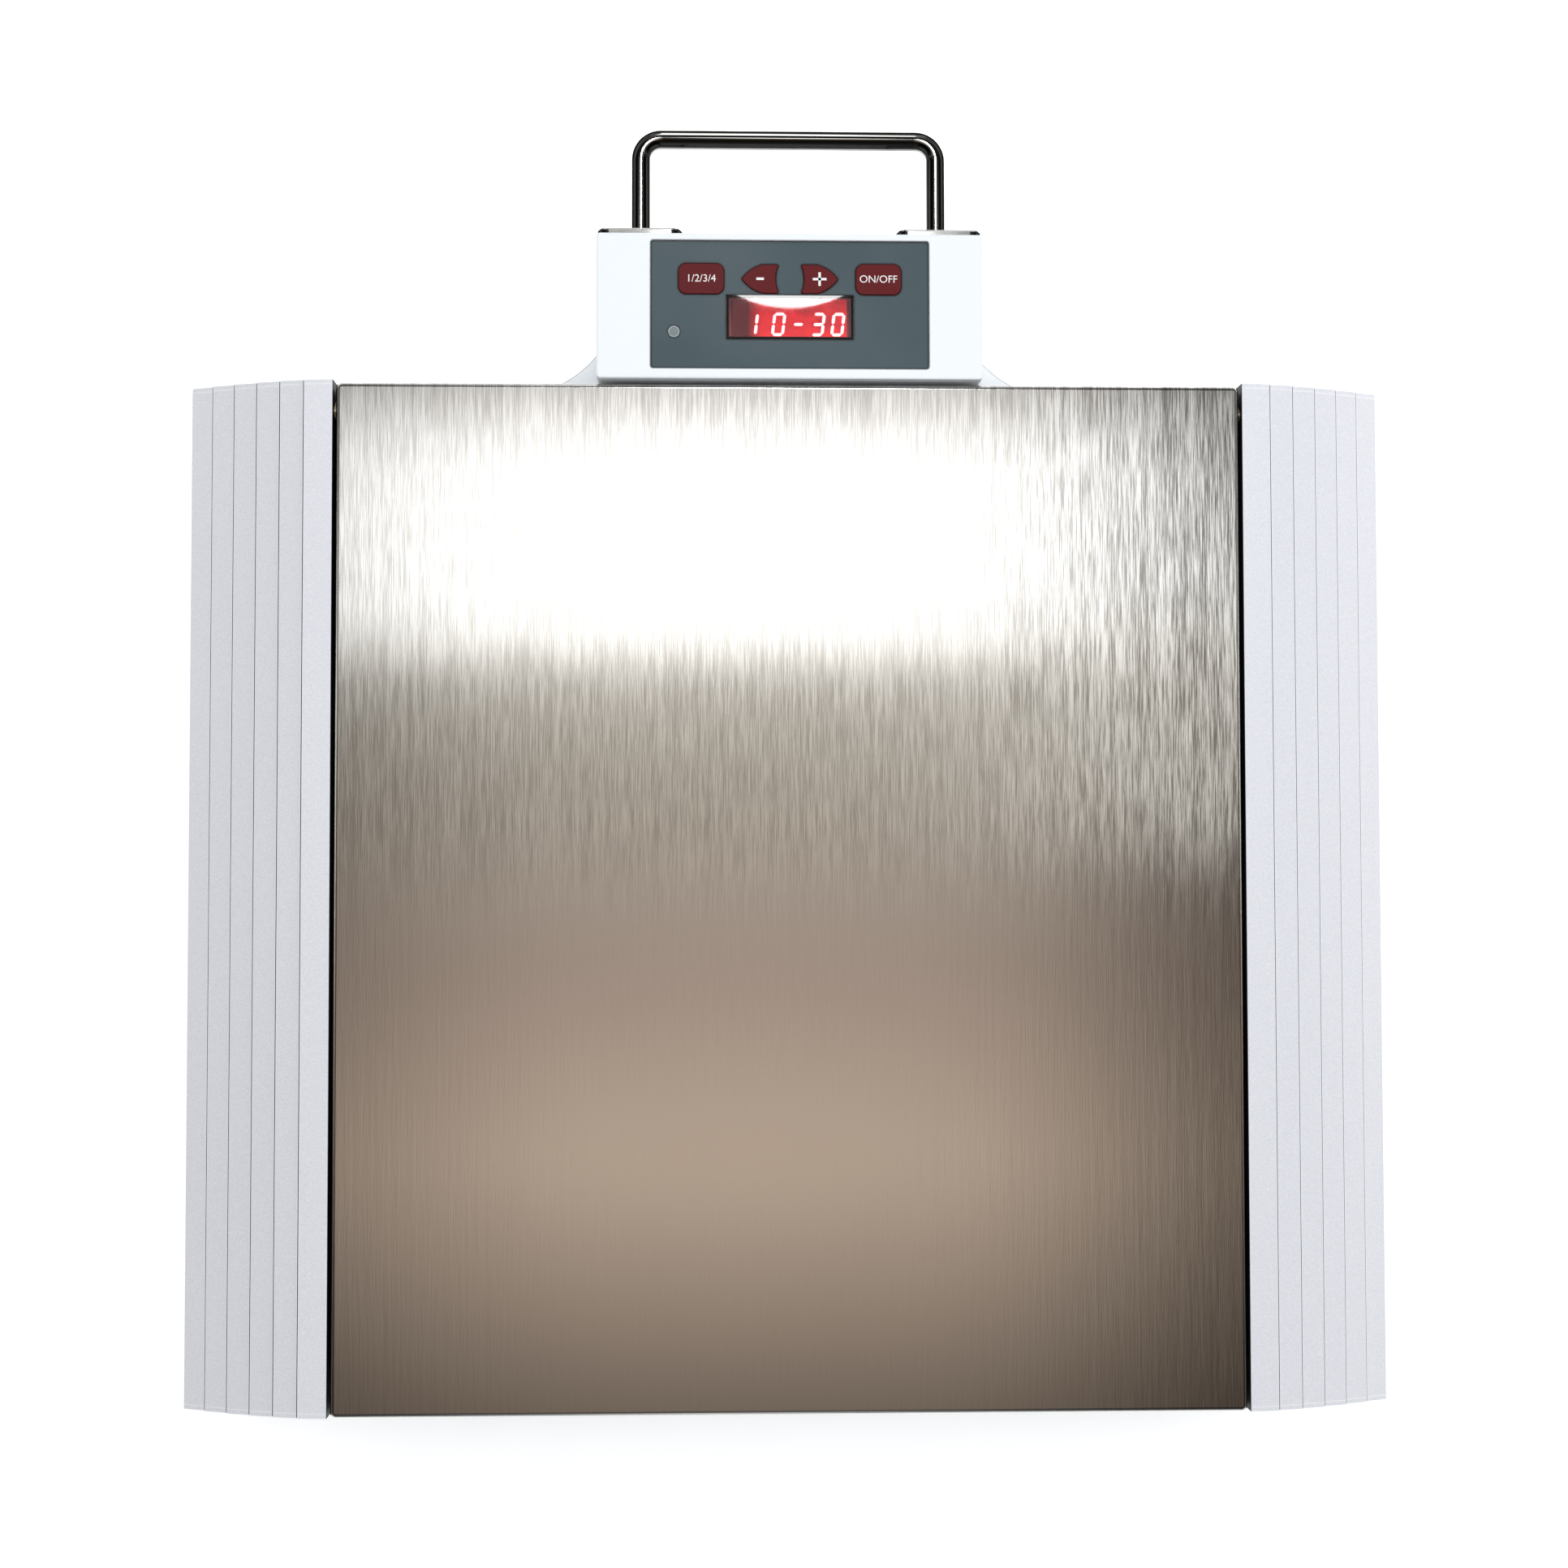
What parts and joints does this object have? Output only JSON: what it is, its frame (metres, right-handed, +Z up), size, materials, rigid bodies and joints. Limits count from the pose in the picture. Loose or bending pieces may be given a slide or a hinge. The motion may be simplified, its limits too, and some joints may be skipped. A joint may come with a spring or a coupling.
{
  "type": "reflow oven",
  "caption": "Flat bench-top reflow oven: brushed steel lid hinged between stepped side profiles, with a keypad console and a carry handle at the rear.",
  "frame": {"origin": "bottom centre of the whole object's box, at bench level under the feet", "axes": "+Z up; +Y to the rear, towards the console and carry handle; +X to the right for a user at the front"},
  "size_m": [0.5294, 0.564, 0.112],
  "materials": {
    "lid_steel": "brushed along the depth",
    "profile_metal": "fine bead-blasted, clear anodised",
    "console_paint": "fine-textured light powder coat",
    "case_paint": "satin grey powder coat",
    "chamber_steel": "bright rolled stainless",
    "plated_steel": "zinc plated",
    "handle_steel": "polished",
    "overlay_film": "matt slate blue-grey film",
    "key_red": "satin dark red",
    "window_smoke": "clear red tinted pane",
    "display_black": "black display face with lit red digits",
    "lamp_clear": "unlit clear lamp",
    "circuit_board": "green solder mask",
    "black_plastic": "moulded black",
    "brass_contact": "plated contacts",
    "rubber_black": "matt",
    "seal_rope": "braided glass seal",
    "mineral_wool": "pressed fibre",
    "quartz": "frosted quartz",
    "ceramic_white": "unglazed"
  },
  "bodies": {
    "root": {"base_plate": "case_paint", "rubber_feet": "rubber_black", "foot_screws": "plated_steel", "side_profile_left": "profile_metal", "side_profile_right": "profile_metal", "profile_caps_front": "profile_metal", "profile_caps_rear": "profile_metal", "cap_screws": "plated_steel", "front_panel": "case_paint", "rear_panel": "case_paint", "panel_screws": "plated_steel", "support_rails": "plated_steel", "liner_tub": "chamber_steel", "base_insulation": "mineral_wool", "tub_gasket": "seal_rope", "lower_reflector": "chamber_steel", "lower_heaters": "quartz", "lower_heater_caps": "ceramic_white", "lower_heater_brackets": "chamber_steel", "rack_supports": "chamber_steel", "board_rack": "plated_steel", "thermocouple": "plated_steel", "lid_bumpers": "rubber_black", "hinge_pins": "plated_steel", "console_bracket": "console_paint", "console_housing": "console_paint", "console_base_cover": "console_paint", "console_screws": "plated_steel", "keypad_overlay": "overlay_film", "display_window": "window_smoke", "display_module": "display_black", "status_lamp": "lamp_clear", "control_board": "circuit_board", "board_standoffs": "brass_contact", "tact_switches": "black_plastic", "carry_handle": "handle_steel", "handle_rosettes": "handle_steel", "handle_screws": "plated_steel", "fan_frame": "black_plastic", "power_board": "circuit_board", "power_components": "black_plastic", "power_inlet": "black_plastic", "inlet_contacts": "brass_contact", "switch_frame": "black_plastic", "control_cable": "black_plastic", "cable_grommets": "rubber_black"},
    "lid": {"lid_skin": "lid_steel", "lid_inner_pan": "chamber_steel", "lid_insulation": "mineral_wool", "lid_screws": "plated_steel", "hinge_bushes": "brass_contact", "upper_heaters": "quartz", "upper_heater_caps": "ceramic_white", "upper_heater_brackets": "chamber_steel"},
    "menu_key": {"key_menu": "key_red"},
    "minus_key": {"key_minus": "key_red"},
    "plus_key": {"key_plus": "key_red"},
    "start_key": {"key_start": "key_red"},
    "rocker": {"switch_rocker": "black_plastic"},
    "rotor": {"fan_rotor": "black_plastic"}
  },
  "joints": [
    {"name": "lid_hinge", "type": "hinge", "parent": "root", "child": "lid", "pos_m": [0, 0.1535, 0.1015], "axis": [-1, 0, 0], "range_deg": [0, 88]},
    {"name": "menu_press", "type": "slide", "parent": "root", "child": "menu_key", "axis": [0, 0, -1], "range_m": [0, 0.0005], "stiffness_N_per_m": 400, "springref_m": -0.001},
    {"name": "minus_press", "type": "slide", "parent": "root", "child": "minus_key", "axis": [0, 0, -1], "range_m": [0, 0.0005], "stiffness_N_per_m": 400, "springref_m": -0.001},
    {"name": "plus_press", "type": "slide", "parent": "root", "child": "plus_key", "axis": [0, 0, -1], "range_m": [0, 0.0005], "stiffness_N_per_m": 400, "springref_m": -0.001},
    {"name": "start_press", "type": "slide", "parent": "root", "child": "start_key", "axis": [0, 0, -1], "range_m": [0, 0.0005], "stiffness_N_per_m": 400, "springref_m": -0.001},
    {"name": "rocker_tilt", "type": "hinge", "parent": "root", "child": "rocker", "pos_m": [0.141, 0.1667, 0.0405], "axis": [-1, 0, 0], "range_deg": [0, 16]},
    {"name": "fan_spin", "type": "hinge", "parent": "root", "child": "rotor", "pos_m": [-0.165, 0.1667, 0.0405], "axis": [0, 1, 0], "continuous": true}
  ]
}
